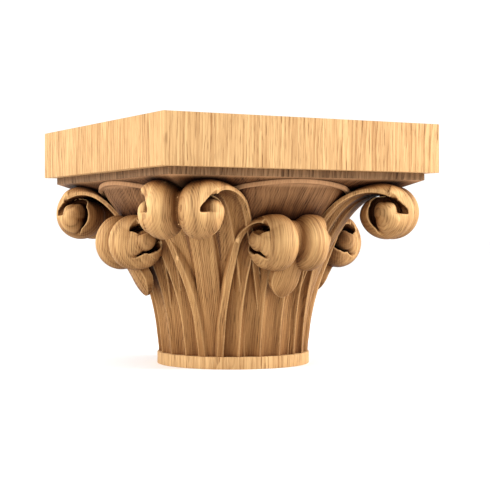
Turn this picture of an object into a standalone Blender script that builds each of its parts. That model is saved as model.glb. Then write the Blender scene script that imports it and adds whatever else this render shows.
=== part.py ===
"""A carved oak capital: a square abacus on a flaring bell, which eight curling leaves wrap.

The origin is at the centre of the neck's underside, +Z is up, and the abacus sides face X and Y.
Four face leaves stand in front on the X and Y directions, and four corner leaves behind and between
them reach out under the corners of the abacus. Everything is cut from one block, so it is one solid.
"""

import math

import bmesh
import bpy
import numpy as np
from mathutils import Matrix

# Abacus and the ledge under it
ABACUS_SIDE = 0.250
ABACUS_THICK = 0.040
LEDGE_INSET = 0.0085
LEDGE_THICK = 0.006
TOTAL_HEIGHT = 0.200
# Bell, with a ring at its foot and a lip at its top
RING_RADIUS = 0.065
RING_HEIGHT = 0.010
BELL_FOOT_INSET = 0.0070
LIP_SETBACK = 0.002
LIP_THICK = 0.0055
BELL_FLARE = 2.0
BELL_SEGMENTS = 48
BELL_STEPS = 6
# How far each part of the block runs into the next, so that they join
OVERLAP = 0.003

# Leaf scrolls: their size, and how they sit against the ledge
ROLL_RADIUS = 0.0226
SCROLL_HALF_WIDTH = 0.0300
CORNER_SETBACK = 0.0067
CORNER_GAP = 0.0034
FACE_OVERHANG = 0.0041
FACE_DROP = 0.0250
# Groove that winds round the eye of each lobe, and the eye itself
GROOVE_WIDTH = 0.0052
GROOVE_DEPTH = 0.0130
FACE_EYE_RADIUS = 0.0100
CORNER_EYE_RADIUS = 0.0092
EYE_PROUD = 0.0040
# Leaf blades: how wide and proud of the bell, how deep their backs and feet are sunk in the bell and
# the ring, and how far under the scroll's axis they leave the bell
LEAF_HALF_WIDTH = 0.0412
FACE_PROUD = 0.0070
CORNER_PROUD = 0.0042
FLUTE_DEPTH = 0.0028
FACE_ROOT = 0.0055
CORNER_ROOT = 0.0030
FACE_FOOT = 0.0050
CORNER_FOOT = 0.0070
FACE_LEAVES_BELL = 0.0087
CORNER_LEAVES_BELL = 0.0010
# Tongue that hangs under each face scroll
TONGUE_HALF_WIDTH = 0.0145
TONGUE_THICK = 0.0080
TONGUE_DROP = 0.0445
TONGUE_STAND_OFF = 0.0100
TONGUE_SLOPE = 0.62
TONGUE_SAG = 0.42

# Places that follow from the sizes above
ABACUS_BOTTOM = TOTAL_HEIGHT - ABACUS_THICK
LEDGE_BOTTOM = ABACUS_BOTTOM - LEDGE_THICK
LEDGE_HALF = ABACUS_SIDE / 2 - LEDGE_INSET
LIP_BOTTOM = LEDGE_BOTTOM - LIP_THICK
LIP_RADIUS = LEDGE_HALF - LIP_SETBACK
BELL_FOOT_RADIUS = RING_RADIUS - BELL_FOOT_INSET
CORNER_RISE = LEDGE_BOTTOM - CORNER_GAP - ROLL_RADIUS
FACE_RISE = CORNER_RISE - FACE_DROP
GROOVE_FLOOR = SCROLL_HALF_WIDTH - GROOVE_DEPTH
EYE_REACH = SCROLL_HALF_WIDTH + EYE_PROUD

# Columns across half a leaf, as shares of its half width: ridge, hollow, ridge, hollow, rim
COLUMNS = (0.0, 0.24, 0.44, 0.62, 0.80, 1.0)
# How deep the flutes are on each column, as shares of the flute depth, from the rim's level
FLUTES = (0.8, 0.0, 1.0, 0.0, 1.0, 0.0)
# Radius of the scroll on each column, as shares of the roll radius: two lobes and a valley. The
# lobes are fuller where the groove opens round the eye than where they close over it.
LOBES = (0.56, 0.88, 1.0, 0.95, 0.77, 0.54)
LOBES_CLOSED = (0.56, 0.88, 1.0, 0.94, 0.74, 0.36)
# How thick the blade is where it runs into the scroll, as a share of the scroll's radius
ROOT_SHARE = 0.5
STEM_STATIONS = 5
ARCH_STATIONS = 3
LOBE_SEGMENTS = 14
GROOVE_STATIONS = 6
EYE_SEGMENTS = 8
EYE_RINGS = 2
# How far the eye's round end reaches along the axis, as a share of its radius
EYE_DOME = 0.92

FACE = {
    "turn": 0.0,
    "scroll_out": LEDGE_HALF + FACE_OVERHANG - ROLL_RADIUS,
    "scroll_rise": FACE_RISE,
    "proud": FACE_PROUD,
    "root": FACE_ROOT,
    "foot": RING_HEIGHT - FACE_FOOT,
    "leaves_bell": FACE_RISE - FACE_LEAVES_BELL,
    "blade_end": math.radians(88),
    "hook": math.radians(41),
    "crescent": math.radians(305),
    "eye_radius": FACE_EYE_RADIUS,
    "eye_out": -0.0010,
}
CORNER = {
    "turn": math.radians(45),
    "scroll_out": LEDGE_HALF * math.sqrt(2) - CORNER_SETBACK - ROLL_RADIUS,
    "scroll_rise": CORNER_RISE,
    "proud": CORNER_PROUD,
    "root": CORNER_ROOT,
    "foot": RING_HEIGHT - CORNER_FOOT,
    "leaves_bell": CORNER_RISE - CORNER_LEAVES_BELL,
    "blade_end": math.radians(72),
    "hook": math.radians(5),
    "crescent": math.radians(268),
    "eye_radius": CORNER_EYE_RADIUS,
    "eye_out": 0.0018,
}


def smooth(low, high, x):
    """0 below low, 1 above high and a smooth rise between."""
    t = min(1.0, max(0.0, (x - low) / (high - low)))
    return t * t * (3 - 2 * t)


def bell_radius(height):
    """Outside radius of the plain bell at a height above the underside."""
    share = min(1.0, max(0.0, (height - RING_HEIGHT) / (LIP_BOTTOM - RING_HEIGHT)))
    return BELL_FOOT_RADIUS + (LIP_RADIUS - BELL_FOOT_RADIUS) * share**BELL_FLARE


def bell_slope(height):
    """Unit direction of the bell's profile, going up, as (outward, up)."""
    step = 0.001
    direction = np.array((bell_radius(height + step) - bell_radius(height - step), 2 * step))
    return direction / np.linalg.norm(direction)


def on_bell(height, across, lift):
    """(outward, up) of a point that stands lift off the bell, at a distance across the leaf."""
    radius = bell_radius(height) + lift
    return np.array((math.sqrt(max(radius**2 - across**2, 0.0)), height))


def arch(start, start_way, end, end_way, share):
    """A point on the cubic curve from start to end with those directions at its ends."""
    reach = 0.38 * np.linalg.norm(end - start)
    a, b, c, d = start, start + reach * start_way, end - reach * end_way, end
    s = 1 - share
    return s**3 * a + 3 * s * s * share * b + 3 * s * share * share * c + share**3 * d


def column_path(leaf, column, front):
    """Points (across, outward, up) of one column of a leaf, from the neck up into its scroll."""
    share = COLUMNS[column]
    lift = leaf["proud"] - FLUTE_DEPTH * FLUTES[column] if front else -leaf["root"]
    points = []
    for station in range(STEM_STATIONS):
        along = station / (STEM_STATIONS - 1)
        height = leaf["foot"] + (leaf["leaves_bell"] - leaf["foot"]) * along
        across = share * LEAF_HALF_WIDTH
        points.append((across, *on_bell(height, across, lift)))
    start = np.array(points[-1][1:])
    way_out = np.array((math.cos(leaf["blade_end"]), math.sin(leaf["blade_end"])))
    radius = 0.97 * ROLL_RADIUS * LOBES[column] * (ROOT_SHARE if front else 1)
    end = np.array((leaf["scroll_out"], leaf["scroll_rise"])) + radius * way_out
    for station in range(1, ARCH_STATIONS + 1):
        along = station / ARCH_STATIONS
        half = LEAF_HALF_WIDTH + (SCROLL_HALF_WIDTH - LEAF_HALF_WIDTH) * smooth(0, 1, along)
        way = np.array((way_out[1], -way_out[0]))
        point = arch(start, bell_slope(leaf["leaves_bell"]), end, way, along)
        points.append((share * half, *point))
    return points


def mesh_object(name, points, faces):
    """A mesh object whose faces point out, made from points and faces."""
    mesh = bpy.data.meshes.new(name)
    mesh.from_pydata([tuple(p) for p in points], [], faces)
    shape = bmesh.new()
    shape.from_mesh(mesh)
    bmesh.ops.recalc_face_normals(shape, faces=shape.faces)
    bmesh.ops.triangulate(shape, faces=shape.faces)
    shape.to_mesh(mesh)
    shape.free()
    made = bpy.data.objects.new(name, mesh)
    bpy.context.scene.collection.objects.link(made)
    return made


def loft(name, sections):
    """A closed solid through sections, which are rings of the same number of points."""
    count = len(sections[0])
    points = [p for section in sections for p in section]
    faces = []
    for i in range(len(sections) - 1):
        for j in range(count):
            k = (j + 1) % count
            faces.append((i * count + j, i * count + k, (i + 1) * count + k, (i + 1) * count + j))
    faces.append(tuple(range(count)))
    faces.append(tuple((len(sections) - 1) * count + j for j in reversed(range(count))))
    return mesh_object(name, points, faces)


def blade(leaf, name):
    """The leaf itself: a fluted blade up the bell that arches out into its scroll."""
    backs = [column_path(leaf, column, False) for column in range(len(COLUMNS))]
    fronts = [column_path(leaf, column, True) for column in range(len(COLUMNS))]
    sections = []
    for station in range(len(backs[0])):
        back = [path[station] for path in backs]
        front = [path[station] for path in fronts]
        ring = back + front[::-1]
        mirrored = [(-across, out, up) for across, out, up in front[1:] + back[:0:-1]]
        sections.append([(out, across, up) for across, out, up in ring + mirrored])
    return loft(name, sections)


def lobe_radius(leaf, column, angle):
    """Radius of the lobes on a column at an angle about the scroll's axis."""
    middle = (leaf["hook"] + leaf["crescent"] - 2 * math.pi) / 2
    reach = (leaf["hook"] - leaf["crescent"] + 2 * math.pi) / 2
    off = abs((angle - middle + math.pi) % (2 * math.pi) - math.pi)
    closed = 1 - smooth(reach - math.radians(25), reach + math.radians(15), off)
    return ROLL_RADIUS * (LOBES[column] + (LOBES_CLOSED[column] - LOBES[column]) * closed)


def lobes(leaf, name):
    """The rolled end of the leaf: two round lobes on one axis with a valley between them."""
    sections = []
    for column in list(range(len(COLUMNS) - 1, 0, -1)) + list(range(len(COLUMNS))):
        side = -1 if len(sections) < len(COLUMNS) - 1 else 1
        across = side * COLUMNS[column] * SCROLL_HALF_WIDTH
        ring = []
        for step in range(LOBE_SEGMENTS):
            angle = 2 * math.pi * step / LOBE_SEGMENTS
            radius = lobe_radius(leaf, column, angle)
            out = leaf["scroll_out"] + radius * math.cos(angle)
            ring.append((out, across, leaf["scroll_rise"] + radius * math.sin(angle)))
        sections.append(ring)
    return loft(name, sections)


def groove(leaf, side, name):
    """The cutter for the groove that winds round a lobe's eye, from its hook to its crescent tip."""
    sections = []
    for station in range(GROOVE_STATIONS):
        along = station / (GROOVE_STATIONS - 1)
        angle = leaf["hook"] + (leaf["crescent"] - leaf["hook"]) * along
        closing = smooth(0.55, 1.0, along)
        inner = leaf["eye_radius"] + 0.9 * GROOVE_WIDTH * closing
        width = GROOVE_WIDTH * (0.08 + (1 - closing) * (0.4 + 0.52 * smooth(0.0, 0.12, along)))
        floor = GROOVE_FLOOR + 0.75 * GROOVE_DEPTH * closing
        corners = (
            (inner, SCROLL_HALF_WIDTH + OVERLAP),
            (inner + 1.4 * width, SCROLL_HALF_WIDTH + OVERLAP),
            (inner + width, floor),
            (inner, floor),
        )
        ring = []
        for radius, across in corners:
            out = leaf["scroll_out"] + leaf["eye_out"] + radius * math.cos(angle)
            ring.append((out, side * across, leaf["scroll_rise"] + radius * math.sin(angle)))
        sections.append(ring)
    return loft(name, sections)


def turned(name, profile, segments):
    """A solid turned about the Y axis, from (along, radius) points that end on the axis."""
    sections = []
    for along, radius in profile[1:-1]:
        angles = [2 * math.pi * k / segments for k in range(segments)]
        sections.append([(radius * math.cos(a), along, radius * math.sin(a)) for a in angles])
    count = len(sections)
    points = [p for section in sections for p in section]
    points += [(0, profile[0][0], 0), (0, profile[-1][0], 0)]
    faces = []
    for j in range(segments):
        k = (j + 1) % segments
        for i in range(count - 1):
            faces.append((i * segments + j, i * segments + k, (i + 1) * segments + k, (i + 1) * segments + j))
        faces.append((j, k, count * segments))
        faces.append(((count - 1) * segments + j, (count - 1) * segments + k, count * segments + 1))
    return mesh_object(name, points, faces)


def eye(leaf, side, name):
    """The round end of the scroll's core, which stands out of the middle of a lobe."""
    root = GROOVE_FLOOR - OVERLAP
    shoulder = EYE_REACH - leaf["eye_radius"] * EYE_DOME
    profile = [(side * root, 0.0), (side * root, leaf["eye_radius"] * 0.94)]
    for ring in range(EYE_RINGS):
        turn = math.pi / 2 * ring / EYE_RINGS
        along = shoulder + (EYE_REACH - shoulder) * math.sin(turn)
        profile.append((side * along, leaf["eye_radius"] * math.cos(turn)))
    profile.append((side * EYE_REACH, 0.0))
    made = turned(name, profile, EYE_SEGMENTS)
    centre = (leaf["scroll_out"] + leaf["eye_out"], 0, leaf["scroll_rise"])
    made.data.transform(Matrix.Translation(centre))
    return made


def tongue(leaf, name):
    """The leaf's middle tip, which hangs under the scroll with its point towards the neck."""
    tip_rise = leaf["scroll_rise"] - TONGUE_DROP
    tip_out = bell_radius(tip_rise) + FACE_PROUD + TONGUE_STAND_OFF
    root_rise = leaf["scroll_rise"] - 0.6 * ROLL_RADIUS
    root = np.array((tip_out + TONGUE_SLOPE * (root_rise - tip_rise), root_rise))
    tip = np.array((tip_out, tip_rise))
    sections = []
    for share, width in ((0.0, 0.85), (0.35, 1.0), (0.62, 0.92), (0.84, 0.56), (1.0, 0.08)):
        face = root + (tip - root) * share + np.array((0.0012, 0.0)) * math.sin(math.pi * share)
        thick = TONGUE_THICK * (1.2 - 0.6 * share)
        half = width * TONGUE_HALF_WIDTH
        row = []
        for side in (-1.0, -0.6, 0.0, 0.6, 1.0):
            row.append((face[0] - TONGUE_SAG * half * side * side, half * side, face[1]))
        for side in (0.7, 0.0, -0.7):
            row.append((face[0] - thick - 0.3 * TONGUE_SAG * half * side * side, half * side, face[1]))
        sections.append(row)
    return loft(name, sections)


def slab(name, side, low, high):
    """A square slab centred on the axis, between two heights."""
    half = side / 2
    corners = ((-half, -half), (half, -half), (half, half), (-half, half))
    return loft(name, [[(x, y, z) for x, y in corners] for z in (low, high)])


def bell():
    """The turned core: the ring at the foot, the flaring bell and its lip."""
    profile = [(0.0, 0.0), (0.0, RING_RADIUS), (RING_HEIGHT, RING_RADIUS)]
    for step in range(BELL_STEPS + 1):
        height = RING_HEIGHT + (LIP_BOTTOM - RING_HEIGHT) * step / BELL_STEPS
        profile.append((height, bell_radius(height)))
    top = LEDGE_BOTTOM + min(OVERLAP, LEDGE_THICK / 2)
    profile += [(top, LIP_RADIUS), (top, 0.0)]
    made = turned("capital", profile, BELL_SEGMENTS)
    made.data.transform(Matrix.Rotation(math.pi / 2, 4, "X"))
    return made


def oak():
    """Bare oak with a dull sheen."""
    made = bpy.data.materials.new("oak")
    made.use_nodes = True
    shader = made.node_tree.nodes["Principled BSDF"]
    shader.inputs["Base Color"].default_value = (0.60, 0.39, 0.20, 1)
    shader.inputs["Roughness"].default_value = 0.5
    shader.inputs["Metallic"].default_value = 0.0
    return made


def carve(body, operation, piece):
    """Adds a piece to the body, or cuts it from it; the piece stays as a hidden guide."""
    piece.hide_render = True
    piece.display_type = "WIRE"
    step = body.modifiers.new(piece.name, "BOOLEAN")
    step.operation = operation
    step.object = piece


def carved_leaf(kind, leaf):
    """One leaf of a kind as a finished mesh, standing on the +X side of the axis."""
    body = lobes(leaf, f"{kind}_leaf")
    carve(body, "UNION", blade(leaf, f"{kind}_blade"))
    for side, word in ((-1, "left"), (1, "right")):
        carve(body, "DIFFERENCE", groove(leaf, side, f"{kind}_groove_{word}"))
        carve(body, "UNION", eye(leaf, side, f"{kind}_eye_{word}"))
    if kind == "face":
        carve(body, "UNION", tongue(leaf, f"{kind}_tongue"))
    bpy.context.view_layer.update()
    seen = body.evaluated_get(bpy.context.evaluated_depsgraph_get())
    mesh = bpy.data.meshes.new_from_object(seen)
    body.hide_render = True
    body.display_type = "WIRE"
    return mesh


def main():
    for old in list(bpy.data.objects):
        bpy.data.objects.remove(old, do_unlink=True)
    body = bell()
    for kind, leaf in (("face", FACE), ("corner", CORNER)):
        mesh = carved_leaf(kind, leaf)
        for quarter in range(4):
            copy = bpy.data.objects.new(f"{kind}_{quarter}", mesh.copy())
            bpy.context.scene.collection.objects.link(copy)
            copy.data.transform(Matrix.Rotation(leaf["turn"] + quarter * math.pi / 2, 4, "Z"))
            carve(body, "UNION", copy)
    carve(body, "UNION", slab("ledge", 2 * LEDGE_HALF, LEDGE_BOTTOM, ABACUS_BOTTOM + OVERLAP))
    carve(body, "UNION", slab("abacus", ABACUS_SIDE, ABACUS_BOTTOM, TOTAL_HEIGHT))
    body.data.materials.append(oak())
    body.data.shade_smooth()
    body.data.set_sharp_from_angle(angle=math.radians(35))


main()
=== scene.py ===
"""Looks of the carved oak capital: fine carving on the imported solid, oak, light, floor and camera."""

import math

import bmesh
import bpy
import numpy as np
from mathutils import Matrix, Vector


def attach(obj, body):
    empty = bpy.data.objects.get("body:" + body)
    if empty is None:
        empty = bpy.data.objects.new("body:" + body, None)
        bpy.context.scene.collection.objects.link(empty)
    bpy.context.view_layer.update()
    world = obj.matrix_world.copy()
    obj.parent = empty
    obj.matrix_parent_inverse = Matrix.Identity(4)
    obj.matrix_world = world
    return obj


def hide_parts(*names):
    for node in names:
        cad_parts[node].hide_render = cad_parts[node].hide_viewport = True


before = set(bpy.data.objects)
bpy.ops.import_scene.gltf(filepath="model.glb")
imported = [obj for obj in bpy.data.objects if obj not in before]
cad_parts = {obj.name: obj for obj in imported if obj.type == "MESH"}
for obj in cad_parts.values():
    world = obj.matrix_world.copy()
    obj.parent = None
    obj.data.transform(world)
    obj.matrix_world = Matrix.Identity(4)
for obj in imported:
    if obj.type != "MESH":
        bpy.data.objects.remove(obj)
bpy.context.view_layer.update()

# Sizes shared with the part, in metres
ABACUS_SIDE = 0.250
ABACUS_THICK = 0.040
LEDGE_INSET = 0.0085
LEDGE_THICK = 0.006
TOTAL_HEIGHT = 0.200
RING_RADIUS = 0.065
RING_HEIGHT = 0.010
BELL_FOOT_INSET = 0.0070
LIP_SETBACK = 0.002
LIP_THICK = 0.0055
BELL_FLARE = 2.0
ROLL_RADIUS = 0.0226
CORNER_SETBACK = 0.0067
CORNER_GAP = 0.0034
FACE_OVERHANG = 0.0041
FACE_DROP = 0.0250
LEAF_HALF_WIDTH = 0.0412
FACE_PROUD = 0.0070
CORNER_PROUD = 0.0042
TONGUE_HALF_WIDTH = 0.0125
TONGUE_DROP = 0.0445
TONGUE_STAND_OFF = 0.0100
TONGUE_SLOPE = 0.62

ABACUS_BOTTOM = TOTAL_HEIGHT - ABACUS_THICK
LEDGE_BOTTOM = ABACUS_BOTTOM - LEDGE_THICK
LEDGE_HALF = ABACUS_SIDE / 2 - LEDGE_INSET
LIP_BOTTOM = LEDGE_BOTTOM - LIP_THICK
LIP_RADIUS = LEDGE_HALF - LIP_SETBACK
BELL_FOOT_RADIUS = RING_RADIUS - BELL_FOOT_INSET
CORNER_RISE = LEDGE_BOTTOM - CORNER_GAP - ROLL_RADIUS
FACE_RISE = CORNER_RISE - FACE_DROP

# Sizes of the fine carving
MM = 0.001
# Each lobe's middle, from the leaf's middle, and its half width towards the valley between the lobes
LOBE_ACROSS = 13.7 * MM
LOBE_HALF_INNER = 15.8 * MM
VALLEY_FILLET = 1.6 * MM
# Share of its radius that the roll loses where its end tucks in under the blade
TUCK_DEPTH = 0.44
# The eye at each end of the roll: its middle, its half width, and where its cap takes over
EYE_ACROSS = 25.0 * MM
EYE_HALF = 9.2 * MM
EYE_REACH = EYE_ACROSS + 1.5 * MM
EYE_FILLET = 3.0 * MM
# How far across the groove's floor lies, and where it has risen to at the groove's tip
GROOVE_FLOOR = 15.5 * MM
GROOVE_FLOOR_TIP = 23.5 * MM
# Edges between the leaf's flutes, as shares of its half width
ARRISES = (0.0, 0.225, 0.635, 0.90)
EDGE_FALL = 0.6 * MM
STEM_FOOT = RING_HEIGHT * 0.8
# The soffit under the ledge falls from its edges to the bell, and the lip follows it
SOFFIT_EDGE = LEDGE_HALF - 0.5 * MM
SOFFIT_SLOPE = 0.44
SOFFIT_RUN = 36 * MM
BAND_HEIGHT = 3.9 * MM
TUCKED_INTO_LEDGE = LEDGE_BOTTOM + 1.0 * MM

# How finely the pieces are made
STEM_STEPS = 90
ARCH_STEPS = 64
BLADE_LINES = 91
SKIN_STEPS = 34
SECTION_STEPS = 40
CAP_STEPS = 18
SCROLL_TURNS = 240
EYE_RINGS = 41
EYE_SEGMENTS = 64
TONGUE_RINGS = 60
BELL_RINGS = 60
TURNED_SEGMENTS = 192
LIP_SEGMENTS = 384
SKIN_VOXEL = 0.6 * MM
LEAF_TRIANGLES = 95000
SHARP_ANGLE = 24

# Noise scales of the wood per metre, across and along the grain
FIBRES = (560.0, 560.0, 12.0)
STREAKS = (190.0, 190.0, 5.0)
PORES = (1200.0, 1200.0, 70.0)
# How much the trunk wanders from a straight one, in metres
DRIFT = (0.020, 0.020, 0.0)
RIPPLE = (0.0045, 0.0045, 0.0)
# Distance from the middle at which fanned-out fibres keep their width
MEAN_REACH = 0.085
# Reach of the painted shade in the small hollows
NEAR_HOLLOW = 0.008
PORE_DEPTH = 0.0003
GLOSS = 0.10
WHITE = (1.0, 1.0, 1.0, 1)
# Where the lights point
LIT_POINT = (0, 0, 0.11)

# The two kinds of leaf. Single lengths are in metres, those in brackets in millimetres.
#   turn        degrees about the upright axis
#   out, rise   axis of the roll, from the middle of the capital and from its foot
#   proud       how far the blade stands out from the bell
#   flutes      depths from the middle to the edge; deepen: share they gain up the stem
#   keel        millimetres that a keel in place of the middle flute is set down, or 0 for none
#   leaves      height at which the blade leaves the bell
#   end         degrees round the scroll where the blade runs in
#   hook, crescent, fade   degrees where the groove starts and ends, and over which it runs out
#   closed      millimetres across that the lobe's skin keeps where the groove has run out
# Round the scroll, in degrees from straight out, over the top, to the neck:
#   half, power   a lobe's half width and the fullness of its section
#   lip, groove, core   how far across the skin reaches, and the groove's outer and inner radius
#   valley      depth between the lobes at the top, the middle and below, as shares of the radius
#   tucks       degrees where the roll starts to tuck in, is in, starts to come out and is out
#   eye_shift   outward and upward place of the eye's pole from the axis
#   ball        the face scroll's eye: out, up, across and radius; ball_top: height and slope of its cut
#   tip_half    millimetres of half width that the blade has where it runs in
#   bow         handles of the arch's curve, as shares of its span
#   rim         millimetres that the blade's edge rises inside the scroll
FACE = {
    "turn": 0.0,
    "out": LEDGE_HALF + FACE_OVERHANG - ROLL_RADIUS,
    "rise": FACE_RISE,
    "proud": FACE_PROUD,
    "flutes": (3.2, 4.2, 4.0),
    "keel": 0.0,
    "deepen": 0.45,
    "leaves": 0.0860,
    "end": 76,
    "hook": 41,
    "crescent": 320,
    "fade": 84,
    "closed": 26.0,
    "half": (
        (-180, 20.4), (-157, 21.2), (-130, 20.8), (-115, 20.4), (-98, 19.2), (-75, 18.0), (-50, 17.4),
        (-20, 16.2), (20, 15.3), (41, 16.0), (65, 18.0), (90, 19.5), (140, 19.5), (180, 20.4),
    ),
    "power": (
        (-180, 2.3), (-157, 2.45), (-130, 2.9), (-115, 3.0), (-98, 2.45), (-75, 2.0), (41, 2.0), (62, 2.6),
        (90, 3.4), (130, 2.4), (180, 2.3),
    ),
    "lip": (
        (-180, 28.8), (-157, 31.0), (-130, 32.8), (-115, 32.6), (-98, 31.5), (-75, 30.0), (-38, 27.0),
        (20, 25.4), (41, 25.9), (65, 26.6), (90, 27.2), (150, 27.2), (180, 28.8),
    ),
    "groove": (
        (-180, 15.2), (-157, 14.6), (-130, 11.8), (-98, 10.6), (-75, 10.8), (-38, 11.0), (20, 15.6),
        (41, 15.6), (90, 15.0), (130, 15.0), (180, 15.2),
    ),
    "core": (
        (-180, 10.0), (-140, 6.2), (-90, 3.8), (-42, 3.2), (0, 4.4), (41, 6.0), (75, 8.2), (105, 10.2),
        (140, 11.2), (180, 10.0),
    ),
    "valley": (0.78, 0.60, 0.52),
    "tucks": (86, 100, 145, 208),
    "eye_shift": (-2.4, 2.6),
    "ball": (-2.0, 2.0, 27.0, 9.4),
    "ball_top": (7.4, -0.36),
    "tip_half": 29.0,
    "bow": (0.50, 0.34),
    "rim": 1.2,
}
CORNER = {
    "turn": 45.0,
    "out": LEDGE_HALF * math.sqrt(2) - CORNER_SETBACK - ROLL_RADIUS,
    "rise": CORNER_RISE,
    "proud": CORNER_PROUD,
    "flutes": (3.0, 4.0, 3.4),
    "keel": 0.9,
    "deepen": 0.12,
    "leaves": 0.1150,
    "end": 64,
    "hook": -7,
    "crescent": 275,
    "fade": 62,
    "closed": 23.0,
    "half": (
        (-180, 19.5), (-85, 19.6), (-60, 19.2), (-30, 17.2), (0, 14.2), (20, 14.4), (41, 16.0), (60, 18.8),
        (77, 20.6), (110, 20.0), (180, 19.5),
    ),
    "power": ((-180, 2.0), (41, 2.0), (60, 2.8), (77, 3.5), (120, 2.4), (180, 2.0)),
    "lip": (
        (-180, 28.2), (-83, 28.2), (-30, 22.4), (-10, 20.6), (5, 21.0), (22, 23.6), (41, 25.6), (60, 28.6),
        (77, 31.2), (113, 28.4), (180, 28.2),
    ),
    "groove": (
        (-180, 13.0), (-125, 14.2), (-83, 15.8), (-20, 18.8), (2, 18.8), (22, 16.8), (41, 15.4), (61, 13.8),
        (113, 13.7), (180, 13.0),
    ),
    "core": (
        (-180, 8.4), (-140, 9.0), (-83, 12.0), (-30, 11.6), (-5, 10.4), (10, 10.2), (30, 10.4), (41, 10.2),
        (62, 9.0), (90, 8.0), (120, 8.8), (180, 8.4),
    ),
    "valley": (0.66, 0.54, 0.58),
    "tucks": (74, 92, 92, 200),
    "eye_shift": (2.0, -1.4),
    "tip_half": 30.5,
    "bow": (0.46, 0.36),
    "rim": 0.0,
}


def smooth(low, high, x):
    """0 below low, 1 above high and a smooth rise between, for numbers or arrays."""
    t = np.clip((np.asarray(x, float) - low) / (high - low), 0.0, 1.0)
    return t * t * (3 - 2 * t)


def join_smooth(a, b, width):
    """The larger of a and b, with a fillet of about that width between them."""
    h = np.clip(0.5 + 0.5 * (a - b) / width, 0, 1)
    return b + (a - b) * h + width * h * (1 - h)


def new_object(name, mesh):
    made = bpy.data.objects.new(name, mesh)
    bpy.context.scene.collection.objects.link(made)
    return made


def mesh_object(name, points, faces):
    mesh = bpy.data.meshes.new(name)
    mesh.from_pydata([tuple(map(float, p)) for p in points], [], faces)
    shape = bmesh.new()
    shape.from_mesh(mesh)
    bmesh.ops.remove_doubles(shape, verts=shape.verts, dist=1e-6)
    bmesh.ops.recalc_face_normals(shape, faces=shape.faces)
    shape.to_mesh(mesh)
    shape.free()
    return new_object(name, mesh)


def loft(name, rings, closed_ends=True):
    """A surface through rings of the same number of points, with its ends filled."""
    rings = np.asarray(rings, float)
    rows, count = rings.shape[:2]
    points = rings.reshape(-1, 3)
    faces = []
    for i in range(rows - 1):
        for j in range(count):
            k = (j + 1) % count
            faces.append((i * count + j, i * count + k, (i + 1) * count + k, (i + 1) * count + j))
    if closed_ends:
        faces.append(tuple(range(count)))
        faces.append(tuple((rows - 1) * count + j for j in reversed(range(count))))
    return mesh_object(name, points, faces)


def bell_radius(height):
    share = np.clip((np.asarray(height, float) - RING_HEIGHT) / (LIP_BOTTOM - RING_HEIGHT), 0, 1)
    return BELL_FOOT_RADIUS + (LIP_RADIUS - BELL_FOOT_RADIUS) * share**BELL_FLARE


def bell_way(height):
    """Unit direction of the bell's profile, going up, as (outward, up)."""
    step = 0.5 * MM
    way = np.array((float(bell_radius(height + step) - bell_radius(height - step)), 2 * step))
    return way / np.linalg.norm(way)


def flute(leaf, share, deepen):
    """Depth of the hollow flutes under the arrises, at a share of the leaf's half width."""
    for k, depth in enumerate(leaf["flutes"]):
        low, high = ARRISES[k], ARRISES[k + 1]
        if share > high:
            continue
        if leaf["keel"] and k < 2:
            return keeled(leaf, share, deepen)
        middle = 0.0 if k == 0 else (low + high) / 2
        half = high if k == 0 else (high - low) / 2
        return depth * MM * deepen * (1 - ((share - middle) / half) ** 2)
    return EDGE_FALL * (share - ARRISES[-1]) / (1 - ARRISES[-1])


def keeled(leaf, share, deepen):
    """The same depth where a rounded keel stands in the place of the middle flute."""
    edge = ARRISES[1]
    keel = leaf["keel"] * MM
    if share <= edge:
        return keel * (share / edge) ** 2
    beside = leaf["flutes"][1] * MM * deepen
    step = (share - edge) / (ARRISES[2] - edge)
    channel = beside * (1 - step**2.2)
    return keel + (channel - keel) * float(smooth(0.0, 0.14, step))


def around(leaf, what, degrees):
    """Value of one of the leaf's tables at an angle round the scroll."""
    at = (degrees + 180.0) % 360.0 - 180.0
    angles, values = zip(*leaf[what])
    return float(np.interp(at, angles, values))


def wrap_share(leaf, degrees):
    """Share of its radius that the roll keeps: its end tucks in under the blade."""
    at = degrees % 360.0
    low, high, rises, whole = leaf["tucks"]
    if at < low or at > whole:
        return 1.0
    fall = 1.0 - TUCK_DEPTH * float(smooth(low, high, at))
    return max(fall, 1.0 - TUCK_DEPTH * float(1 - smooth(rises, whole, at)))


def lobe_radius(leaf, degrees, across):
    """Radius of the double scroll at an angle and a distance across from its middle."""
    across = np.asarray(across, float)
    half = around(leaf, "half", degrees) * MM
    power = around(leaf, "power", degrees)
    away = np.abs(across - LOBE_ACROSS)
    outer = np.clip(1 - (away / half) ** power, 0, None) ** (1 / power)
    inner = np.sqrt(np.clip(1 - (away / LOBE_HALF_INNER) ** 2, 0, None))
    top, middle, low = leaf["valley"]
    up = math.sin(math.radians(degrees))
    valley = middle + (top - middle) * max(up, 0) ** 2 + (low - middle) * max(-up, 0) ** 2
    inner = join_smooth(inner, np.full_like(inner, valley), VALLEY_FILLET / ROLL_RADIUS)
    return ROLL_RADIUS * wrap_share(leaf, degrees) * np.where(across > LOBE_ACROSS, outer, inner)


def stem_line(leaf, share, front):
    """Points (across, out, up) that climb the bell at a share of the blade's half width."""
    across = share * LEAF_HALF_WIDTH
    line = []
    for i in range(STEM_STEPS):
        along = i / (STEM_STEPS - 1)
        height = STEM_FOOT + (leaf["leaves"] - STEM_FOOT) * along
        if front:
            deepen = 1.0 + leaf["deepen"] * float(smooth(0.3, 1.0, along))
            lift = leaf["proud"] - flute(leaf, share, deepen)
            lift -= 0.9 * MM * (1 - float(smooth(0.0, 0.25, along)))
        else:
            lift = -3.0 * MM + 2.6 * MM * float(smooth(0.5, 1.0, along))
        radius = float(bell_radius(height)) + lift
        line.append((across, math.sqrt(max(radius**2 - across**2, 0)), height))
    return line


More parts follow.
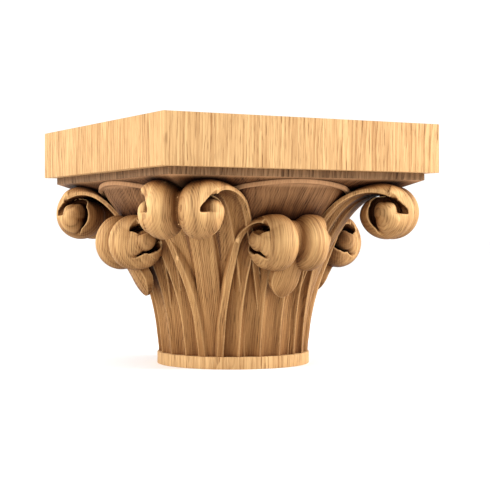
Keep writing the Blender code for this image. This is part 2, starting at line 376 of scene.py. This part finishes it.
def arch_end(leaf, share, front):
    """The place (out, up) where a line of the blade runs into the scroll."""
    angle = math.radians(leaf["end"])
    outer = float(lobe_radius(leaf, leaf["end"], share * (leaf["tip_half"] * MM))) * 0.998
    radius = outer
    if front:
        inner = around(leaf, "groove", leaf["end"]) * MM - 0.4 * MM
        rim = leaf["rim"] * MM * float(smooth(0.84, 1.0, share))
        radius = min(inner - flute(leaf, share, 0.4) + rim, outer - 1.2 * MM)
    return np.array((leaf["out"], leaf["rise"])) + radius * np.array((math.cos(angle), math.sin(angle)))


def arch_line(leaf, share, start, end):
    """Points (across, out, up) of the arch, which leaves along the bell and meets the roll's tangent."""
    angle = math.radians(leaf["end"])
    tangent = np.array((math.sin(angle), -math.cos(angle)))
    span = np.linalg.norm(end - start)
    first = start + leaf["bow"][0] * span * bell_way(leaf["leaves"])
    second = end - leaf["bow"][1] * span * tangent
    narrowing = leaf["tip_half"] * MM - LEAF_HALF_WIDTH
    line = []
    for i in range(1, ARCH_STEPS + 1):
        t = i / ARCH_STEPS
        r = 1 - t
        point = r**3 * start + 3 * r * r * t * first + 3 * r * t * t * second + t**3 * end
        half = LEAF_HALF_WIDTH + narrowing * float(smooth(0.25, 1.05, t) / smooth(0.25, 1.05, 1))
        line.append((share * half, *point))
    return line


def blade_line(leaf, share, front):
    line = stem_line(leaf, share, front)
    return line + arch_line(leaf, share, np.array(line[-1][1:]), arch_end(leaf, share, front))


def mirrored(points):
    return [(-across, out, up) for across, out, up in points]


def blade(leaf, name):
    """Fluted blade that climbs the bell, arches out and runs into the top of its scroll."""
    shares = np.linspace(0, 1, BLADE_LINES)
    front = [blade_line(leaf, share, True) for share in shares]
    back = [blade_line(leaf, share, False) for share in shares]
    rings = []
    for f, b in zip(zip(*front), zip(*back)):
        ring = [*b, *f[::-1], *mirrored(f[1:]), *mirrored(b[:0:-1])]
        rings.append([(out, across, up) for across, out, up in ring])
    return loft(name, rings)


def groove_state(leaf, degrees):
    """How open the groove is, how far it is from its tip, and how much its floor slopes, 0 to 1."""
    span = (leaf["crescent"] - leaf["hook"]) % 360.0
    theta = (degrees - leaf["hook"]) % 360.0
    from_hook = theta if theta < 180 + span / 2 else theta - 360
    to_tip = float(smooth(0, leaf["fade"], span - theta)) if theta < span else 0.0
    opening = min(float(smooth(-4, 5, from_hook)), to_tip**0.8) if theta < span or theta > 350 else 0.0
    sloped = float(smooth(100, 60, theta)) if theta < 300 else 1.0
    return opening, to_tip, sloped


def groove_lip(leaf, degrees, opening):
    """How far across the lobe's skin reaches before it turns into the groove."""
    whole = float(smooth(0.58, 0.86, wrap_share(leaf, degrees)))
    lip = around(leaf, "lip", degrees) * MM
    lip = lip - (lip - 19 * MM) * (1 - whole)
    closed = leaf["closed"] * MM
    return closed + (lip - closed) * float(smooth(0, 0.7, opening))


def open_section(leaf, degrees, lip, r_lip, to_tip, sloped):
    """Section (across, radius) of the open groove, from its lip over its floor to the eye."""
    core = around(leaf, "core", degrees) * MM
    r_out = min(around(leaf, "groove", degrees) * MM, r_lip - 0.7 * MM)
    r_out = max(r_out, core + 0.5 * MM)
    floor = GROOVE_FLOOR + (GROOVE_FLOOR_TIP - GROOVE_FLOOR) * (1 - to_tip)
    floor = min(floor, lip - 3 * MM) + 1.5 * MM * sloped
    wide = r_out - core
    knots = np.array((
        (lip, r_lip), (lip + 0.25 * MM, r_lip - 0.5 * MM), (lip - 0.5 * MM, r_out),
        (lip - (3 - 1.2 * sloped) * MM, r_out - 0.2 * MM - 0.16 * wide * sloped),
        (floor + (1.5 + 0.8 * sloped) * MM, r_out - 0.4 * MM - 0.50 * wide * sloped),
        (floor, (r_out + core) / 2 - 0.30 * wide * sloped), (floor + 1.0 * MM, core + 0.1 * MM),
        (EYE_ACROSS - 3 * MM, core), (EYE_REACH, core * 0.985),
    ))
    steps = np.concatenate(([0], np.cumsum(np.linalg.norm(np.diff(knots, axis=0), axis=1))))
    way = np.linspace(0, 1, SECTION_STEPS) * steps[-1]
    return np.stack([np.interp(way, steps, knots[:, 0]), np.interp(way, steps, knots[:, 1])], 1)


def closed_section(leaf, degrees, lip):
    """The same stretch where the groove has run out: the lobe's skin, filleted into the eye."""
    core = around(leaf, "core", degrees) * MM
    x = lip + (EYE_REACH - lip) * np.linspace(0, 1, SECTION_STEPS)
    r_eye = core * np.sqrt(np.clip(1 - (np.maximum(x - EYE_ACROSS, 0) / EYE_HALF) ** 2, 0, None))
    return np.stack([x, join_smooth(lobe_radius(leaf, degrees, x), r_eye, EYE_FILLET)], 1)


def eye_cap(core, r_start):
    """The rest of the section, which rounds the eye almost to its pole."""
    start = r_start / math.sqrt(1 - (1.5 * MM / EYE_HALF) ** 2)
    cap = []
    for t in np.linspace(0, 1, CAP_STEPS)[1:-1]:
        x = EYE_REACH + (EYE_ACROSS + EYE_HALF - EYE_REACH) * math.sin(t * math.pi / 2)
        down = (x - EYE_ACROSS) / EYE_HALF
        radius = (start + (core - start) * float(smooth(0, 1, t))) * math.sqrt(max(1 - down**2, 0))
        cap.append((x, radius))
    return cap


def scroll_section(leaf, degrees):
    """One half section of the scroll: (across, radius) from its middle to the eye's pole."""
    opening, to_tip, sloped = groove_state(leaf, degrees)
    lip = groove_lip(leaf, degrees, opening)
    across = np.linspace(0, 1, SKIN_STEPS) * lip
    skin = list(zip(across, lobe_radius(leaf, degrees, across)))
    opened = open_section(leaf, degrees, lip, skin[-1][1], to_tip, sloped)
    closed = closed_section(leaf, degrees, lip)
    groove = closed + (opened - closed) * opening
    core = around(leaf, "core", degrees) * MM
    return skin + [tuple(point) for point in groove[1:]] + eye_cap(core, groove[-1][1])


def scroll_ring(leaf, degrees):
    """The half section at its place (out, across, up), with the eye drifting off the roll's axis."""
    c, s = math.cos(math.radians(degrees)), math.sin(math.radians(degrees))
    ring = []
    for x, r in scroll_section(leaf, degrees):
        drift = float(np.clip((x - EYE_ACROSS) / EYE_HALF, 0, 1)) * MM
        out = leaf["out"] + r * c + leaf["eye_shift"][0] * drift
        ring.append((out, x, leaf["rise"] + r * s + leaf["eye_shift"][1] * drift))
    return ring


def half_faces(rows, pole):
    """Faces between rows of points about the roll, closed by a fan round the eye's pole."""
    faces = []
    for i in range(SCROLL_TURNS):
        k = (i + 1) % SCROLL_TURNS
        for inner, outer in zip(rows, rows[1:]):
            faces.append((inner[i], inner[k], outer[k], outer[i]))
        faces.append((rows[-1][i], rows[-1][k], pole))
    return faces


def scroll(leaf, name):
    """Two ball-shaped lobes with a valley between, each with a groove that winds round its eye."""
    rings = [scroll_ring(leaf, 360.0 * i / SCROLL_TURNS) for i in range(SCROLL_TURNS)]
    middle, *outwards = zip(*rings)
    points = list(middle)
    faces = []
    for side in (1, -1):
        rows = [range(SCROLL_TURNS)]
        for row in outwards:
            rows.append(range(len(points), len(points) + SCROLL_TURNS))
            points += [(out, side * x, up) for out, x, up in row]
        faces += half_faces(rows, len(points))
        out, up = leaf["eye_shift"]
        points.append((leaf["out"] + out * MM, side * (EYE_ACROSS + EYE_HALF), leaf["rise"] + up * MM))
    return mesh_object(name, points, faces)


def eye(leaf, side, name):
    """The ball that the face scroll winds round, its top pared to a slope."""
    out, up, across, radius = leaf["ball"]
    top, slope = leaf["ball_top"]
    rings = []
    for lift in np.linspace(-89, 89, EYE_RINGS):
        c, s = math.cos(math.radians(lift)), math.sin(math.radians(lift))
        ring = []
        for turn in np.arange(EYE_SEGMENTS) * 2 * math.pi / EYE_SEGMENTS:
            a = out + radius * c * math.cos(turn)
            b = min(up + radius * c * math.sin(turn), top + slope * a)
            ring.append((leaf["out"] + a * MM, side * (across + radius * s) * MM, leaf["rise"] + b * MM))
        rings.append(ring)
    return loft(name, rings)


def tongue(leaf, name):
    """The leaf's middle tip, which hangs under the scroll with its point towards the neck."""
    tip_rise = leaf["rise"] - TONGUE_DROP
    tip_out = float(bell_radius(tip_rise)) + FACE_PROUD + TONGUE_STAND_OFF
    root_rise = leaf["rise"] - 0.40 * ROLL_RADIUS
    rings = []
    for t in np.linspace(0, 1, TONGUE_RINGS):
        above = (root_rise - tip_rise) * (1 - t) ** 1.4
        rise = tip_rise + above
        out = tip_out + TONGUE_SLOPE * above + 0.8 * MM * math.sin(math.pi * t)
        share = min(1.0, above / (15 * MM))
        half = max(0.3 * MM, TONGUE_HALF_WIDTH * (1 - (1 - share) ** 2) ** 0.62)
        thick = 7.6 * MM * (0.30 + 0.70 * share**0.5)
        front = []
        for s in np.linspace(-1, 1, 33):
            front.append((out - 3.2 * MM * s * s * share + 0.5 * MM * (1 - s * s), s * half, rise))
        side = front[-1][0]
        back = [(side - thick, s * half * 0.96, rise + 0.3 * thick) for s in np.linspace(1, -1, 9)]
        rings.append(front + back)
    return loft(name, rings)


def joined(pieces, name):
    bpy.ops.object.select_all(action="DESELECT")
    for piece in pieces:
        piece.select_set(True)
    bpy.context.view_layer.objects.active = pieces[0]
    bpy.ops.object.join()
    whole = bpy.context.view_layer.objects.active
    whole.name = name
    return whole


def evaluated(whole):
    bpy.context.view_layer.update()
    return whole.evaluated_get(bpy.context.evaluated_depsgraph_get())


def one_skin(pieces, name):
    """The pieces united as one skin of even faces, softened as by sanding, in one mesh."""
    whole = joined(pieces, name)
    skin = whole.modifiers.new("skin", "REMESH")
    skin.mode = "VOXEL"
    skin.voxel_size = SKIN_VOXEL
    skin.adaptivity = 0
    soft = whole.modifiers.new("sanding", "SMOOTH")
    soft.factor = 0.5
    soft.iterations = 1
    count = sum(len(p.vertices) - 2 for p in evaluated(whole).data.polygons)
    fewer = whole.modifiers.new("fewer", "DECIMATE")
    fewer.ratio = min(1.0, LEAF_TRIANGLES / count)
    mesh = bpy.data.meshes.new_from_object(evaluated(whole))
    mesh.name = name
    bpy.data.objects.remove(whole, do_unlink=True)
    return mesh


def leaves(material):
    made = []
    for kind, leaf in (("face", FACE), ("corner", CORNER)):
        pieces = [blade(leaf, "blade"), scroll(leaf, "scroll")]
        if kind == "face":
            pieces += [tongue(leaf, "tongue"), eye(leaf, -1, "eye_left"), eye(leaf, 1, "eye_right")]
        mesh = one_skin(pieces, f"{kind}_leaf")
        for quarter in range(4):
            copy = new_object(f"{kind}_leaf_{quarter + 1}", mesh.copy())
            copy.data.transform(Matrix.Rotation(math.radians(leaf["turn"] + 90 * quarter), 4, "Z"))
            copy.data.materials.append(material)
            copy.data.shade_smooth()
            made.append(copy)
    return made


def turned(name, profile):
    """A solid turned about the Z axis from (radius, height) points, with its ends filled."""
    turn = np.arange(TURNED_SEGMENTS) * 2 * math.pi / TURNED_SEGMENTS
    rings = []
    for radius, height in profile:
        level = np.full(TURNED_SEGMENTS, height)
        rings.append(np.stack([radius * np.cos(turn), radius * np.sin(turn), level], 1))
    return loft(name, rings)


def bell():
    """The flaring core, its top set back under the lip."""
    heights = RING_HEIGHT * 0.5 + (LIP_BOTTOM - RING_HEIGHT * 0.5) * np.linspace(0, 1, BELL_RINGS)
    under = 1.6 * MM * smooth(LIP_BOTTOM - 12 * MM, LIP_BOTTOM, heights)
    profile = [(0.5 * BELL_FOOT_RADIUS, heights[0])]
    profile += [(float(bell_radius(h)) - float(u), float(h)) for h, u in zip(heights, under)]
    profile += [(LIP_RADIUS - 1.8 * MM, TUCKED_INTO_LEDGE), (0.5 * LIP_RADIUS, TUCKED_INTO_LEDGE)]
    return turned("bell", profile)


def neck_ring():
    """The plain ring at the neck, with both of its edges eased."""
    inside = RING_RADIUS * 0.6
    return turned("neck_ring", [
        (inside, 0.0), (RING_RADIUS - 0.5 * MM, 0.0), (RING_RADIUS - 0.15 * MM, 0.15 * MM),
        (RING_RADIUS, 0.5 * MM), (RING_RADIUS, RING_HEIGHT - 0.5 * MM),
        (RING_RADIUS - 0.15 * MM, RING_HEIGHT - 0.15 * MM), (RING_RADIUS - 0.5 * MM, RING_HEIGHT),
        (inside, RING_HEIGHT),
    ])


def soffit():
    """The underside of the ledge: four slopes that meet on the diagonals."""
    steps = np.linspace(-1, 1, 25)[:-1]
    square = [(t, -1) for t in steps] + [(1, t) for t in steps]
    square += [(-t, 1) for t in steps] + [(-1, -t) for t in steps]
    rows = []
    for run in np.linspace(SOFFIT_RUN, 0, 13):
        half = SOFFIT_EDGE - run
        rows.append([(x * half, y * half, LEDGE_BOTTOM - SOFFIT_SLOPE * run) for x, y in square])
    rows.append([(x * SOFFIT_EDGE, y * SOFFIT_EDGE, TUCKED_INTO_LEDGE) for x, y in square])
    return loft("soffit", rows)


def lip_edge(turn):
    """Radius and top of the lip where the bell meets the soffit, at an angle about the Z axis."""
    facing = max(abs(math.cos(turn)), abs(math.sin(turn)))
    radius = LIP_RADIUS
    for _ in range(12):
        top = LEDGE_BOTTOM - SOFFIT_SLOPE * (SOFFIT_EDGE - radius * facing)
        radius = min(LIP_RADIUS, float(bell_radius(top - 0.5 * BAND_HEIGHT)) + 1.2 * MM)
    return radius, top


def lip():
    """The bell's lip: a narrow band that follows the soffit, high at each face, low at the corners."""
    band = BAND_HEIGHT / MM
    section = ((-3.0, 1.0), (0.1, -0.4), (0.4, -0.8), (0.4, 0.5 - band), (0.0, -band), (-3.0, -band))
    rows = [[] for _ in section]
    for turn in np.arange(LIP_SEGMENTS) * 2 * math.pi / LIP_SEGMENTS:
        radius, top = lip_edge(turn)
        for row, (out, up) in zip(rows, section):
            r = radius + out * MM
            row.append((r * math.cos(turn), r * math.sin(turn), top + up * MM))
    return loft("lip", rows + rows[:1], closed_ends=False)


def slab(name, side, low, high, edge):
    """A square slab with its edges eased."""
    shape = bmesh.new()
    bmesh.ops.create_cube(shape, size=1.0)
    bmesh.ops.scale(shape, vec=(side, side, high - low), verts=shape.verts)
    bmesh.ops.translate(shape, vec=(0, 0, (low + high) / 2), verts=shape.verts)
    bmesh.ops.bevel(shape, geom=list(shape.edges), offset=edge, segments=3, affect="EDGES", profile=0.5)
    mesh = bpy.data.meshes.new(name)
    shape.to_mesh(mesh)
    shape.free()
    return new_object(name, mesh)


def core(shaded, edge, plain):
    """Bell, ring, abacus and what lies under it, each with its oak; the pieces under the abacus take the
    darker oaks that paint its shade.
    """
    made = (
        (bell(), shaded),
        (neck_ring(), plain),
        (slab("abacus", ABACUS_SIDE, ABACUS_BOTTOM, TOTAL_HEIGHT, 0.5 * MM), plain),
        (slab("ledge", 2 * LEDGE_HALF, LEDGE_BOTTOM, ABACUS_BOTTOM + 1.0 * MM, 0.4 * MM), edge),
        (soffit(), shaded),
        (lip(), shaded),
    )
    for piece, material in made:
        piece.data.materials.append(material)
        piece.data.shade_smooth()
        piece.data.set_sharp_from_angle(angle=math.radians(SHARP_ANGLE))
    return [piece for piece, material in made]


class Shader:
    """A node material written as short steps: every step returns the socket it ends in."""

    def __init__(self, name):
        self.material = bpy.data.materials.new(name)
        self.material.use_nodes = True
        self.tree = self.material.node_tree
        self.surface = self.tree.nodes["Principled BSDF"]

    def put(self, socket, value):
        if isinstance(value, bpy.types.NodeSocket):
            self.tree.links.new(value, socket)
        else:
            socket.default_value = value

    def step(self, kind, inputs=(), output=0, **settings):
        node = self.tree.nodes.new(kind)
        for key, value in settings.items():
            setattr(node, key, value)
        for place, value in dict(inputs).items():
            self.put(node.inputs[place], value)
        return node.outputs[output]

    def maths(self, operation, *values, clamp=False):
        return self.step("ShaderNodeMath", dict(enumerate(values)), operation=operation, use_clamp=clamp)

    def vector(self, operation, *values, output=0):
        return self.step("ShaderNodeVectorMath", dict(enumerate(values)), output, operation=operation)

    def noise(self, vector, scale, detail=2.0, output="Fac"):
        return self.step("ShaderNodeTexNoise", {"Vector": vector, "Scale": scale, "Detail": detail}, output)

    def ramp(self, value, stops):
        socket = self.step("ShaderNodeValToRGB", {"Fac": value})
        elements = socket.node.color_ramp.elements
        while len(elements) < len(stops):
            elements.new(0.5)
        for element, (place, level) in zip(elements, stops):
            element.position = place
            element.color = level if isinstance(level, tuple) else (level, level, level, 1)
        return socket

    def mix(self, share, a, b, blend="MIX"):
        return self.step("ShaderNodeMix", {0: share, 6: a, 7: b}, 2, data_type="RGBA", blend_type=blend)

    def finish(self, **inputs):
        for key, value in inputs.items():
            self.put(self.surface.inputs[key.replace("_", " ")], value)
        return self.material


def painted_shade(wood, colour, depth):
    """Painted shade: darkens the hollows, near and far, and the undersides, where shade falls."""
    # Painted shade in the small hollows close by
    near = wood.step("ShaderNodeAmbientOcclusion", {"Distance": NEAR_HOLLOW}, "AO", samples=6)
    near = wood.ramp(near, (
        (0.0, (0.26, 0.15, 0.09, 1)), (0.45, (0.56, 0.44, 0.35, 1)),
        (0.80, (0.94, 0.91, 0.88, 1)), (1.0, WHITE),
    ))
    # Painted shade from parts further off, as under the abacus and the scrolls
    far = wood.step("ShaderNodeAmbientOcclusion", {"Distance": depth}, "AO", samples=8)
    far = wood.ramp(far, (
        (0.0, (0.13, 0.07, 0.04, 1)), (0.35, (0.31, 0.21, 0.14, 1)),
        (0.65, (0.58, 0.49, 0.41, 1)), (0.95, WHITE),
    ))
    # Painted shade on faces that look down, away from the light above
    normal = wood.step("ShaderNodeNewGeometry", output="Normal")
    facing = wood.step("ShaderNodeSeparateXYZ", {0: normal}, 2)
    under = wood.ramp(wood.maths("MULTIPLY_ADD", facing, 0.5, 0.5), (
        (0.0, (0.40, 0.33, 0.27, 1)), (0.35, (0.76, 0.71, 0.66, 1)), (0.56, WHITE), (1.0, WHITE),
    ))
    for shade in (under, near, far):
        colour = wood.mix(1.0, colour, shade, "MULTIPLY")
    return colour


def painted_arris_highlights(wood, colour, pale):
    """Painted highlight: lightens the arrises, as light glancing off their sharp edges would."""
    red, green, blue = pale
    bright = (min(1, red * 1.25), green * 1.25, blue * 1.3, 1)
    edge = wood.step("ShaderNodeNewGeometry", output="Pointiness")
    edge = wood.ramp(edge, ((0.505, 0.0), (0.57, 1.0)))
    return wood.mix(wood.maths("MULTIPLY", edge, 0.55), colour, bright)


def fan(wood, place):
    """Coordinates that keep the fibres running up and outwards on surfaces that lean."""
    flat = wood.vector("MULTIPLY", place, (1.0, 1.0, 0.0))
    reach = wood.vector("LENGTH", flat, output="Value")
    outward = wood.vector("NORMALIZE", flat)
    sideways = wood.step("ShaderNodeVectorMath", {0: outward, "Scale": MEAN_REACH}, operation="SCALE")
    height = wood.step("ShaderNodeSeparateXYZ", {0: place}, 2)
    upward = wood.step("ShaderNodeCombineXYZ", {"Z": wood.maths("ADD", height, reach)})
    return wood.vector("ADD", sideways, upward)


def wander(wood, slow, scale, detail, reach):
    """A slow shift of the grain to the sides, up to about half of reach."""
    shift = wood.vector("SUBTRACT", wood.noise(slow, scale, detail, "Color"), (0.5, 0.5, 0.5))
    return wood.vector("MULTIPLY", shift, reach)


def early_wood(wood, place, moved, slow, heart, spacing):
    """Early wood of the growth rings: heart is the trunk's middle and how much the rings lean with height."""
    x, y, lean = heart
    across = wood.vector("SUBTRACT", moved, (x, y, 0.0))
    radius = wood.vector("LENGTH", wood.vector("MULTIPLY", across, (1.0, 1.0, 0.0)), output="Value")
    height = wood.step("ShaderNodeSeparateXYZ", {0: place}, 2)
    radius = wood.maths("ADD", radius, wood.maths("MULTIPLY", height, lean))
    rings = wood.maths("FRACT", wood.maths("DIVIDE", radius, spacing))
    early = wood.ramp(rings, ((0.0, 0.15), (0.07, 1.0), (0.34, 0.60), (0.66, 0.16), (1.0, 0.04)))
    uneven = wood.ramp(wood.noise(slow, 90.0, 2.0), ((0.35, 0.25), (0.62, 1.0)))
    return wood.maths("MULTIPLY", early, uneven)


def stretched(wood, along, scales, detail, low, high):
    """Marks drawn out along the grain."""
    marks = wood.noise(wood.vector("MULTIPLY", along, scales), 1.0, detail)
    return wood.ramp(marks, ((low, 0.0), (high, 1.0)))


def oak(name, pale, brown, pore, heart, spacing, hollows):
    """Sawn and sanded oak: growth rings, fibres, streaks and open pores, with painted shade in its hollows
    and undersides and painted highlights on its arrises where it is carved.
    """
    wood = Shader(name)
    place = wood.step("ShaderNodeTexCoord", output="Object")
    slow = wood.vector("MULTIPLY", place, (1.0, 1.0, 0.20))
    moved = wood.vector("ADD", place, wander(wood, slow, 9.0, 2.0, DRIFT))
    moved = wood.vector("ADD", moved, wander(wood, slow, 60.0, 3.0, RIPPLE))
    early = early_wood(wood, place, moved, slow, heart, spacing)
    along = fan(wood, moved) if hollows else moved
    fibres = stretched(wood, along, FIBRES, 4.0, 0.36, 0.62)
    streaks = stretched(wood, along, STREAKS, 2.0, 0.38, 0.62)
    pores = stretched(wood, along, PORES, 1.0, 0.54, 0.64)
    pores = wood.maths("MULTIPLY", pores, wood.maths("MULTIPLY_ADD", early, 0.70, 0.22))
    broad = wood.noise(slow, 16.0, 2.0)
    grain = wood.maths("MULTIPLY_ADD", early, 0.52, wood.maths("MULTIPLY", fibres, 0.42))
    grain = wood.maths("MULTIPLY_ADD", streaks, 0.22, grain)
    grain = wood.maths("ADD", grain, wood.maths("MULTIPLY_ADD", broad, 0.6, -0.38), clamp=True)
    colour = wood.mix(grain, (*pale, 1), (*brown, 1))
    colour = wood.mix(wood.maths("MULTIPLY", pores, 0.85), colour, (*pore, 1))
    # Where it is carved: painted shade in the hollows and undersides, then painted highlights on the arrises
    if hollows:
        colour = painted_arris_highlights(wood, painted_shade(wood, colour, hollows), pale)
    rough = wood.maths("MULTIPLY_ADD", pores, 0.2, wood.maths("MULTIPLY_ADD", grain, 0.16, 0.58))
    relief = wood.maths("MULTIPLY_ADD", pores, -1.0, wood.maths("MULTIPLY", early, -0.35))
    relief = wood.maths("MULTIPLY_ADD", fibres, -0.35, relief)
    bump = wood.step("ShaderNodeBump", {"Strength": 0.4, "Distance": PORE_DEPTH, "Height": relief})
    return wood.finish(Base_Color=colour, Roughness=rough, Normal=bump, Specular_IOR_Level=GLOSS)


def oaks():
    """Carved leaves, the core behind them in a darker copy that paints the shade it lies in, the ledge's end
    grain darker still as painted shade, and the clean block.
    """
    carved = oak(
        "oak_carved", pale=(0.70, 0.430, 0.184), brown=(0.27, 0.124, 0.046), pore=(0.08, 0.034, 0.013),
        heart=(0.22, -0.10, 0.05), spacing=0.0018, hollows=0.085,
    )
    block = oak(
        "oak_block", pale=(0.63, 0.390, 0.176), brown=(0.30, 0.142, 0.050), pore=(0.14, 0.060, 0.020),
        heart=(0.33, 0.30, 0.02), spacing=0.0022, hollows=0.0,
    )
    # A darker copy of the oak for the bell, soffit and lip: painted shade under the abacus
    shaded = oak(
        "oak_shaded", pale=(0.42, 0.228, 0.106), brown=(0.12, 0.054, 0.021), pore=(0.035, 0.015, 0.007),
        heart=(0.26, -0.16, 0.30), spacing=0.0022, hollows=0.045,
    )
    # Darker still for the ledge: painted shade under the abacus's overhang, over its end grain
    edge = oak(
        "oak_ledge_shaded", pale=(0.27, 0.150, 0.072), brown=(0.055, 0.025, 0.011), pore=(0.018, 0.008, 0.004),
        heart=(0.33, 0.30, 0.12), spacing=0.0030, hollows=0.0,
    )
    return carved, shaded, edge, block


def soft_sky(scene):
    scene.view_settings.view_transform = "Standard"
    scene.world = bpy.data.worlds.new("studio")
    scene.world.use_nodes = True
    back = scene.world.node_tree.nodes["Background"]
    back.inputs["Color"].default_value = (1, 1, 1, 1)
    back.inputs["Strength"].default_value = 1.1


def soft_light(name, place, size, power):
    light = bpy.data.lights.new(name, "AREA")
    light.size = size
    light.energy = power
    lamp = new_object(name, light)
    lamp.location = place
    lamp.rotation_euler = (Vector(LIT_POINT) - Vector(place)).to_track_quat("-Z", "Y").to_euler()


def camera(scene):
    """The photograph's place of view: level, at about half height, to the left of the near side."""
    lens = bpy.data.cameras.new("camera")
    lens.lens = 94.5
    lens.sensor_width = 36
    lens.shift_y = -10 / 490
    scene.camera = new_object("camera", lens)
    scene.camera.location = (-0.5238, -0.9739, 0.109)
    scene.camera.rotation_euler = (math.radians(90), 0, math.radians(-28.8))


def pale_floor():
    bpy.ops.mesh.primitive_plane_add(size=40, location=(0, 0, 0))
    floor = bpy.context.object
    floor.name = "floor"
    paint = Shader("pale_floor")
    floor.data.materials.append(paint.finish(Base_Color=(0.92, 0.92, 0.92, 1), Roughness=0.7))


def studio():
    scene = bpy.context.scene
    soft_sky(scene)
    soft_light("left", (-1.15, 0.10, 0.75), 0.6, 13)
    soft_light("right", (1.15, -0.72, 0.70), 0.5, 25)
    camera(scene)
    pale_floor()


def main():
    carved, shaded, edge, block = oaks()
    for piece in leaves(carved) + core(shaded, edge, block):
        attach(piece, "root")
        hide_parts("capital")
    studio()


main()
